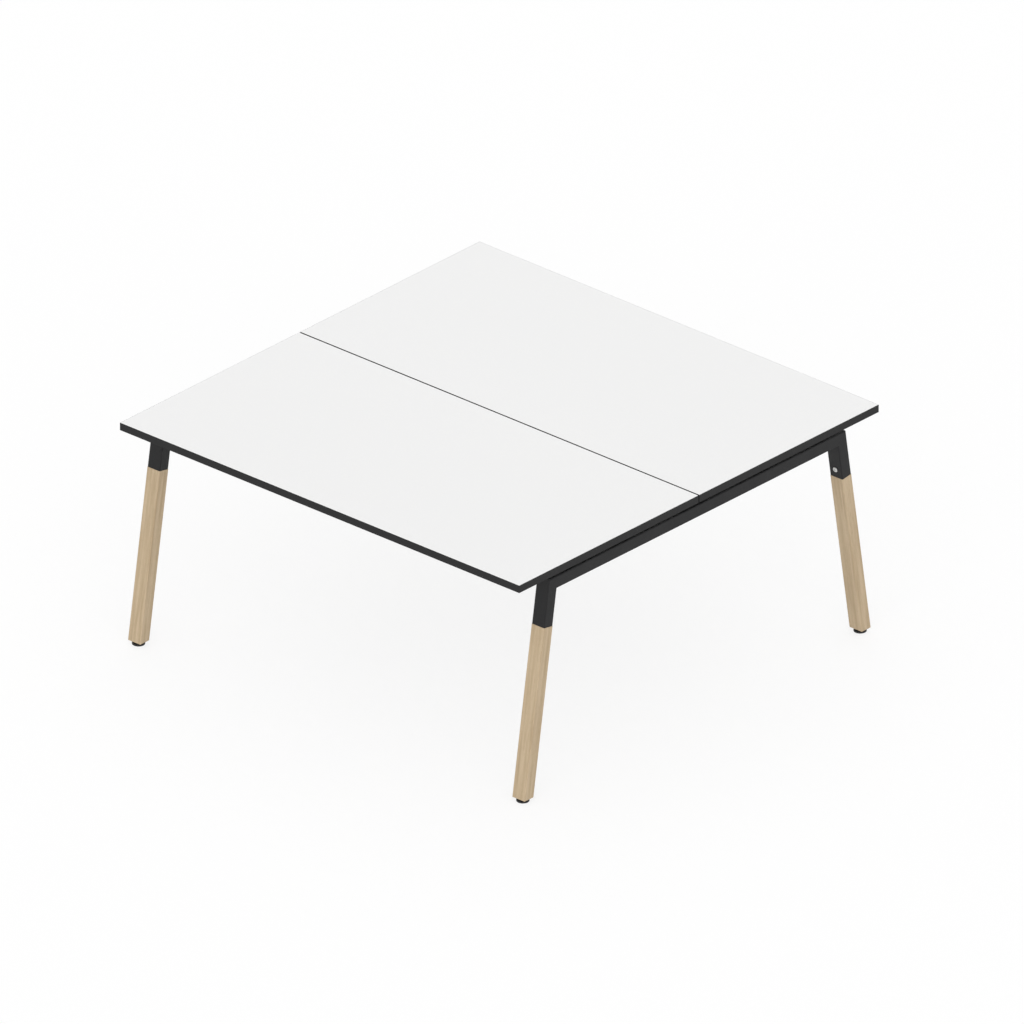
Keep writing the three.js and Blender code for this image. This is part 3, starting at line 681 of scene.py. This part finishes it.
for row in ROWS:
    for side in SIDES:
        place = f"{row}_{side}"
        leg = rounded_bar(tube_width, tube_depth, leg_reach + shoulder, LEG_EDGE, LEG_EDGE_STEPS)
        bmesh.ops.translate(leg, vec=(0, 0, -leg_reach), verts=leg.verts)
        deburr(leg, edges_at(leg, shoulder), ARRIS / 2)
        sawn_end = edges_at(leg, -leg_reach)
        slant_end(leg, -leg_reach, -tan(LEG_TILT))
        deburr(leg, sawn_end, ARRIS)
        tenon = rounded_bar(tenon_width, tenon_depth, TENON_LENGTH + TENON_LEAD, TENON_EDGE)
        deburr(tenon, edges_at(tenon, TENON_LENGTH + TENON_LEAD), TENON_LEAD, segments=1)
        bmesh.ops.translate(tenon, vec=(0, 0, shoulder - TENON_LEAD), verts=tenon.verts)
        combine(leg, tenon, "UNION")
        inside = (0, -tenon_depth / 2 - TENON_PLAY, bolt_z)
        upright = Matrix.Rotation(-LEG_TILT, 3, "X") @ Vector((0, 0, 1))
        lower = Vector((0, 0, -leg_reach)) - upright * FLANGE_DEPTH
        holes = [(inside, (0, 1, 0), NUT_BORE, NUT_DEPTH), (inside, (0, 1, 0), BOLT_HOLE, BOLT_DEPTH)]
        foot_bores = {FLANGE_BORE: FLANGE_DEPTH, BUSH_BORE: BUSH_DEPTH, SCREW_BORE: SCREW_DEPTH}
        for radius, depth in foot_bores.items():
            holes.append((lower, upright, radius, depth + FLANGE_DEPTH))
        drill(leg, holes)
        bmesh.ops.transform(leg, matrix=leg_frame(row, side), verts=leg.verts)
        put(f"oak_leg_{place}", leg, oak_finish(row, side), "oak", "desk_frame", f"wood_leg_{place}")

# Leg bolts and their inserts. A zinc-plated bolt with a broad, low head goes through the inner face of
# each socket into a threaded insert in the tenon, and pulls the leg tight against the tube.
LEG_BOLT_GRIP = 0.026
LEG_BOLT_HEAD = 0.0085
LEG_BOLT_HEAD_HEIGHT = 0.003
NUT_RADIUS = 0.006
NUT_LENGTH = 0.020
NUT_EDGE = 0.0004
for row in ROWS:
    for side in SIDES:
        place = f"{row}_{side}"
        bolt = button_bolt(LEG_BOLT_GRIP, LEG_BOLT_HEAD, LEG_BOLT_HEAD_HEIGHT)
        facing_in = Matrix.Rotation(pi / 2, 4, "X")
        seat = Matrix.Translation((0, -tube_depth / 2 - FRAME_SEAT, bolt_z)) @ facing_in
        bmesh.ops.transform(bolt, matrix=leg_frame(row, side) @ seat, verts=bolt.verts)
        put(f"leg_fixing_{place}", bolt, bright_zinc, "zinc_steel", "desk_frame", f"leg_bolt_{place}")
        section = [(BOLT_HOLE, 0), (NUT_RADIUS, 0), (NUT_RADIUS, NUT_LENGTH), (BOLT_HOLE, NUT_LENGTH)]
        nut = turned(section, closed=True)
        deburr(nut, edges_at(nut, 0) + edges_at(nut, NUT_LENGTH), NUT_EDGE)
        driven = Matrix.Translation((0, -tenon_depth / 2, bolt_z)) @ Matrix.Rotation(-pi / 2, 4, "X")
        bmesh.ops.transform(nut, matrix=leg_frame(row, side) @ driven, verts=nut.verts)
        put(f"tenon_insert_{place}", nut, bright_zinc, "zinc_steel", "desk_frame", f"leg_nut_{place}")

# Foot bushes. A turned steel bush with a flange and an M10 thread is driven into the sawn end of each
# leg, flush with the wood, and takes the screw of the foot.
THREAD_RADIUS = 0.005
BUSH_RADIUS = 0.0075
BUSH_LENGTH = 0.025
BUSH_FLANGE = 0.011
BUSH_FLANGE_THICKNESS = 0.0015
BUSH_EDGE = 0.0003
for row in ROWS:
    for side in SIDES:
        place = f"{row}_{side}"
        bush = turned(
            [
                (SCREW_BORE, 0),
                (BUSH_FLANGE, 0),
                (BUSH_FLANGE, BUSH_FLANGE_THICKNESS),
                (BUSH_RADIUS, BUSH_FLANGE_THICKNESS),
                (BUSH_RADIUS, BUSH_LENGTH),
                (SCREW_BORE, BUSH_LENGTH),
            ],
            closed=True,
        )
        deburr(bush, edges_at(bush, 0), BUSH_EDGE)
        middle = middle_of(f"foot_bush_{place}")
        bmesh.ops.translate(bush, vec=(middle.x, middle.y, leg_floor_gap), verts=bush.verts)
        put(f"leg_bush_{place}", bush, bright_zinc, "zinc_steel", "desk_frame", f"foot_bush_{place}")

# Foot screws. A cold-headed steel stem with an M10 thread, a hexagon collar for a spanner and a round
# pivot that turns in the pad. Turned out, it lifts that corner of the desk.
THREAD_PITCH = 0.0015
THREAD_DEPTH = 0.00092
THREAD_ROOT = (0.47, 0.65)
THREAD_STEPS = 36
TURN_GAP = 2e-6
COLLAR_FLATS = 0.015
COLLAR_EDGE = 0.0005
PIVOT_LENGTH = 0.0042


def threaded_stem(low, high):
    """Stem about Z with a helical thread, cut off square at both heights."""
    stem = bmesh.new()
    root = THREAD_RADIUS - THREAD_DEPTH
    profile = [
        (THREAD_RADIUS, 0),
        (THREAD_RADIUS, THREAD_PITCH / 8),
        (root, THREAD_PITCH * THREAD_ROOT[0]),
        (root, THREAD_PITCH * THREAD_ROOT[1]),
        (THREAD_RADIUS, THREAD_PITCH),
    ]
    verts = [stem.verts.new((radius, 0, low - THREAD_PITCH + height)) for radius, height in profile]
    edges = [stem.edges.new(pair) for pair in zip(verts, verts[1:])]
    turns = ceil((high - low) / THREAD_PITCH) + 1
    bmesh.ops.spin(
        stem,
        geom=verts + edges,
        cent=(0, 0, 0),
        axis=(0, 0, 1),
        dvec=(0, 0, THREAD_PITCH / THREAD_STEPS),
        angle=2 * pi * turns,
        steps=THREAD_STEPS * turns,
    )
    bmesh.ops.remove_doubles(stem, verts=stem.verts, dist=TURN_GAP)
    for height, keep_above in ((low, True), (high, False)):
        everything = stem.verts[:] + stem.edges[:] + stem.faces[:]
        bmesh.ops.bisect_plane(
            stem,
            geom=everything,
            plane_co=(0, 0, height),
            plane_no=(0, 0, 1),
            clear_inner=keep_above,
            clear_outer=not keep_above,
        )
    bmesh.ops.holes_fill(stem, edges=[edge for edge in stem.edges if edge.is_boundary], sides=0)
    bmesh.ops.recalc_face_normals(stem, faces=stem.faces)
    return stem


for row in ROWS:
    for side in SIDES:
        place = f"{row}_{side}"
        screw_low, screw_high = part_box(f"foot_screw_{place}")
        collar_low = screw_low.z + PIVOT_LENGTH
        collar_high = leg_floor_gap - FRAME_SEAT
        screw = hexagon_bar(COLLAR_FLATS, collar_low, collar_high)
        deburr(screw, screw.edges[:], COLLAR_EDGE)
        thread_low = collar_high - COLLAR_EDGE
        pivot_side = [(THREAD_RADIUS, screw_low.z), (THREAD_RADIUS, thread_low)]
        pivot = turned([(0, screw_low.z), *pivot_side, (0, thread_low)])
        combine(screw, pivot, "UNION")
        combine(screw, threaded_stem(thread_low, screw_high.z), "UNION")
        middle = (screw_low + screw_high) / 2
        bmesh.ops.translate(screw, vec=(middle.x, middle.y, 0), verts=screw.verts)
        put(f"foot_stem_{place}", screw, bright_zinc, "zinc_steel", f"screw_{place}", f"foot_screw_{place}")

# Foot pads. Injection-moulded black plastic discs with a domed top and a rounded sole edge. Each stands
# flat on the floor and takes the screw's pivot in a pocket, so it stays still while the screw turns.
PAD_RADIUS = 0.020
PAD_SIDES = 72
PAD_ROUND = 0.0016
PAD_RIM = 0.005
PAD_HUB = 0.009
PAD_POCKET = 0.0053
PAD_EDGE = 0.0004
ROUND_STEPS = 5
pad_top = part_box("foot_pad_front_left")[1].z

moulded_black = grained_finish(
    "moulded_black",
    dark=(0.0130, 0.0130, 0.0135),
    light=(0.0240, 0.0240, 0.0245),
    roughness=(0.48, 0.60),
    specular=0.4,
    grain={"scale": 2200, "share": 0.8, "depth": 0.0001},
)


def rounded_rim(radius, rounding):
    """Points of a quarter round at z = 0, out to this radius, for a turned profile."""
    points = []
    for step in range(ROUND_STEPS + 1):
        angle = -pi / 2 + pi / 2 * step / ROUND_STEPS
        points.append((radius - rounding + rounding * cos(angle), rounding + rounding * sin(angle)))
    return points


for row in ROWS:
    for side in SIDES:
        place = f"{row}_{side}"
        profile = [(0, 0), *rounded_rim(PAD_RADIUS, PAD_ROUND)]
        floor_of_pocket = pad_top - PIVOT_LENGTH
        profile += [(PAD_RADIUS, PAD_RIM), (PAD_HUB, pad_top), (PAD_POCKET, pad_top)]
        profile += [(PAD_POCKET, floor_of_pocket), (0, floor_of_pocket)]
        pad = turned(profile, steps=PAD_SIDES)
        rings = [edge for edge in edges_at(pad, PAD_RIM) + edges_at(pad, pad_top) if edge.is_manifold]
        deburr(pad, rings, PAD_EDGE, segments=3)
        middle = middle_of(f"foot_pad_{place}")
        bmesh.ops.translate(pad, vec=(middle.x, middle.y, 0), verts=pad.verts)
        put(f"glide_{place}", pad, moulded_black, "black_plastic", f"pad_{place}", f"foot_pad_{place}")

# Spacers. Black plastic blocks between the rails and the boards leave the dark gap under the edge. Round
# ones sit near the corners; a long one on each rail bridges the seam and carries both boards.
SPACER_EDGE = 0.001
SPACER_STEPS = 24
ARC_GAP = 1e-5
for side, toward in SIDES.items():
    for reach in ("front", "seam", "rear"):
        low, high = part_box(f"top_spacer_{side}_{reach}")
        width = high.x - low.x
        length = high.y - low.y
        height = high.z - low.z
        spacer = rounded_bar(width, length, height, width / 2 - ARC_GAP, SPACER_STEPS)
        bmesh.ops.remove_doubles(spacer, verts=spacer.verts, dist=5 * ARC_GAP)
        deburr(spacer, edges_at(spacer, 0) + edges_at(spacer, height), SPACER_EDGE, segments=3)
        middle = (low + high) / 2
        bmesh.ops.translate(spacer, vec=(middle.x, middle.y, low.z), verts=spacer.verts)
        screw = "inner" if reach == "seam" else "outer"
        bores = []
        for row in ROWS:
            if reach in (row, "seam"):
                mouth = (middle.x, middle_of(f"top_screw_{row}_{side}_{screw}").y, low.z - SPACER_EDGE)
                bores.append((mouth, (0, 0, 1), SCREW_HOLE, height + 2 * SPACER_EDGE))
        drill(spacer, bores)
        node = f"top_spacer_{side}_{reach}"
        put(f"gap_spacer_{side}_{reach}", spacer, moulded_black, "black_plastic", "desk_frame", node)

# Board screws. Pan-headed wood screws with a cross recess, driven up through the access holes: the head
# bears on the inside of the rail's upper wall and the thread bites into the board.
PAN_RADIUS = 0.005
PAN_HEIGHT = 0.0032
PAN_ROUND = 0.0016
PAN_SIDES = 32
SHANK_RADIUS = 0.0025
SCREW_POINT = 0.005
RECESS = (0.004, 0.0012, 0.0032)
for row in ROWS:
    for side in SIDES:
        for reach in ("outer", "inner"):
            node = f"top_screw_{row}_{side}_{reach}"
            low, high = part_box(node)
            tip = high.z - low.z
            profile = [(0, 0), *rounded_rim(PAN_RADIUS, PAN_ROUND)]
            profile += [(PAN_RADIUS, PAN_HEIGHT), (SHANK_RADIUS, PAN_HEIGHT)]
            profile += [(SHANK_RADIUS, tip - SCREW_POINT), (0, tip)]
            screw = turned(profile, steps=PAN_SIDES)
            for turn in (0, pi / 2):
                slot = bmesh.new()
                arm = Matrix.Rotation(turn, 4, "Z") @ Matrix.Diagonal((*RECESS, 1))
                bmesh.ops.create_cube(slot, size=1, matrix=arm)
                combine(screw, slot, "DIFFERENCE")
            middle = (low + high) / 2
            bmesh.ops.translate(screw, vec=(middle.x, middle.y, low.z), verts=screw.verts)
            put(f"board_fixing_{row}_{side}_{reach}", screw, bright_zinc, "zinc_steel", "desk_frame", node)

# Boards and their edging. Two chipboard panels faced with satin white melamine, whose pearl grain comes
# off the press plate. Each has thin black plastic edging glued on all round, scraped flush with the
# faces.
white_melamine = grained_finish(
    "white_melamine",
    dark=(0.846, 0.846, 0.843),
    light=(0.894, 0.894, 0.891),
    roughness=(0.42, 0.52),
    specular=0.4,
    grain={"scale": 1100, "share": 0.96, "depth": 0.00008},
)
black_edging = grained_finish(
    "black_edging",
    dark=(0.0050, 0.0050, 0.0053),
    light=(0.0170, 0.0170, 0.0175),
    roughness=(0.46, 0.58),
    specular=0.28,
    grain={"scale": 1900, "share": 0.85, "depth": 0.0001},
)
for row in ROWS:
    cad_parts[f"desktop_{row}"].material_slots[0].material = white_melamine
    for edge in ("outer", "seam", "left", "right"):
        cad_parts[f"edge_band_{row}_{edge}"].material_slots[0].material = black_edging

# Studio. White floor that keeps a soft shadow, even light all round, broad soft lamps, and a camera with
# parallel projection. Each quarter of the floor stays under its own foot, so a foot that is screwed out
# stands on it.
FLOOR_SIZE = 60
FLOOR_ALBEDO = 0.8
SHADOW_SHARE = 0.22
SKY_STRENGTH = 0.50
LAMPS = {
    "overhead_lamp": {"strength": 0.93, "spread": 100, "azimuth": 30, "elevation": 84, "in_gloss": True},
    "front_fill": {"strength": 1.6, "spread": 80, "azimuth": 40, "elevation": 11, "in_gloss": False},
    "back_fill": {"strength": 0.7, "spread": 80, "azimuth": 220, "elevation": 11, "in_gloss": False},
}
VIEW_AZIMUTH = radians(42.0)
VIEW_ELEVATION = radians(26.98)
VIEW_WIDTH = 3.0493
VIEW_RIGHT = 0.0377
VIEW_DOWN = 0.2928
VIEW_DISTANCE = 8
VIEW_REACH = 100


def looked_at_mask(tree):
    """1 where the camera looks straight, through glass or in a mirror image, and 0 for falling light."""
    ray = tree.nodes.new("ShaderNodeLightPath")
    seen_or_mirrored = tree.nodes.new("ShaderNodeMath")
    seen_or_mirrored.operation = "MAXIMUM"
    looked_at = tree.nodes.new("ShaderNodeMath")
    looked_at.operation = "MAXIMUM"
    tree.links.new(ray.outputs["Is Camera Ray"], seen_or_mirrored.inputs[0])
    tree.links.new(ray.outputs["Is Glossy Ray"], seen_or_mirrored.inputs[1])
    tree.links.new(seen_or_mirrored.outputs["Value"], looked_at.inputs[0])
    tree.links.new(ray.outputs["Is Transmission Ray"], looked_at.inputs[1])
    return looked_at.outputs["Value"]


floor_white = bpy.data.materials.new("floor_white")
floor_white.use_nodes = True
floor_tree = floor_white.node_tree
floor_tree.nodes.clear()
floor_out = floor_tree.nodes.new("ShaderNodeOutputMaterial")
floor_light = floor_tree.nodes.new("ShaderNodeBsdfDiffuse")
floor_light.inputs["Color"].default_value = (FLOOR_ALBEDO, FLOOR_ALBEDO, FLOOR_ALBEDO, 1)
floor_shadow = floor_tree.nodes.new("ShaderNodeBsdfDiffuse")
floor_shadow.inputs["Color"].default_value = (SHADOW_SHARE, SHADOW_SHARE, SHADOW_SHARE, 1)
floor_glow = floor_tree.nodes.new("ShaderNodeEmission")
floor_glow.inputs["Strength"].default_value = 1 - SHADOW_SHARE
seen_floor = floor_tree.nodes.new("ShaderNodeAddShader")
seen = floor_tree.nodes.new("ShaderNodeMixShader")
see_through = floor_tree.nodes.new("ShaderNodeBsdfTransparent")
underside = floor_tree.nodes.new("ShaderNodeNewGeometry")
one_way = floor_tree.nodes.new("ShaderNodeMixShader")
floor_tree.links.new(floor_shadow.outputs["BSDF"], seen_floor.inputs[0])
floor_tree.links.new(floor_glow.outputs["Emission"], seen_floor.inputs[1])
floor_tree.links.new(looked_at_mask(floor_tree), seen.inputs["Fac"])
floor_tree.links.new(floor_light.outputs["BSDF"], seen.inputs[1])
floor_tree.links.new(seen_floor.outputs["Shader"], seen.inputs[2])
floor_tree.links.new(underside.outputs["Backfacing"], one_way.inputs["Fac"])
floor_tree.links.new(seen.outputs["Shader"], one_way.inputs[1])
floor_tree.links.new(see_through.outputs["BSDF"], one_way.inputs[2])
floor_tree.links.new(one_way.outputs["Shader"], floor_out.inputs["Surface"])

for row, back_or_forth in ROWS.items():
    for side, toward in SIDES.items():
        place = f"{row}_{side}"
        quarter = bmesh.new()
        middle = Matrix.Translation((toward * FLOOR_SIZE / 4, back_or_forth * FLOOR_SIZE / 4, 0))
        bmesh.ops.create_grid(quarter, x_segments=1, y_segments=1, size=FLOOR_SIZE / 4, matrix=middle)
        floor_mesh = bpy.data.meshes.new(f"floor_{place}")
        quarter.to_mesh(floor_mesh)
        quarter.free()
        floor_mesh.materials.append(floor_white)
        floor = link_object(f"floor_{place}", floor_mesh)
        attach(floor, f"pad_{place}")

world = bpy.data.worlds.new("studio")
bpy.context.scene.world = world
world.use_nodes = True
sky_tree = world.node_tree
sky = sky_tree.nodes["Background"]
sky.inputs["Color"].default_value = (1, 1, 1, 1)
sky_level = sky_tree.nodes.new("ShaderNodeMapRange")
sky_level.inputs["To Min"].default_value = SKY_STRENGTH
sky_level.inputs["To Max"].default_value = 1
sky_tree.links.new(looked_at_mask(sky_tree), sky_level.inputs["Value"])
sky_tree.links.new(sky_level.outputs["Result"], sky.inputs["Strength"])


def direction_to(azimuth, elevation):
    """Unit vector at this angle round from the front, turning to the right, and up from the floor."""
    return Vector((sin(azimuth) * cos(elevation), -cos(azimuth) * cos(elevation), sin(elevation)))


for name, setting in LAMPS.items():
    lamp_data = bpy.data.lights.new(name, "SUN")
    lamp_data.energy = setting["strength"]
    lamp_data.angle = radians(setting["spread"])
    lamp = link_object(name, lamp_data)
    lamp.visible_glossy = setting["in_gloss"]
    aim = -direction_to(radians(setting["azimuth"]), radians(setting["elevation"]))
    lamp.rotation_euler = aim.to_track_quat("-Z", "Y").to_euler()

right = Vector((cos(VIEW_AZIMUTH), sin(VIEW_AZIMUTH), 0))
back = direction_to(VIEW_AZIMUTH, VIEW_ELEVATION)
up = back.cross(right)
camera_data = bpy.data.cameras.new("camera")
camera_data.type = "ORTHO"
camera_data.ortho_scale = VIEW_WIDTH
camera_data.clip_end = VIEW_REACH
camera = link_object("camera", camera_data)
aimed_at = Vector((0, 0, cad_box[1].z)) + right * VIEW_RIGHT - up * VIEW_DOWN
camera.location = aimed_at + back * VIEW_DISTANCE
camera.rotation_euler = (-back).to_track_quat("-Z", "Y").to_euler()
bpy.context.scene.camera = camera
bpy.context.scene.view_settings.view_transform = "Standard"
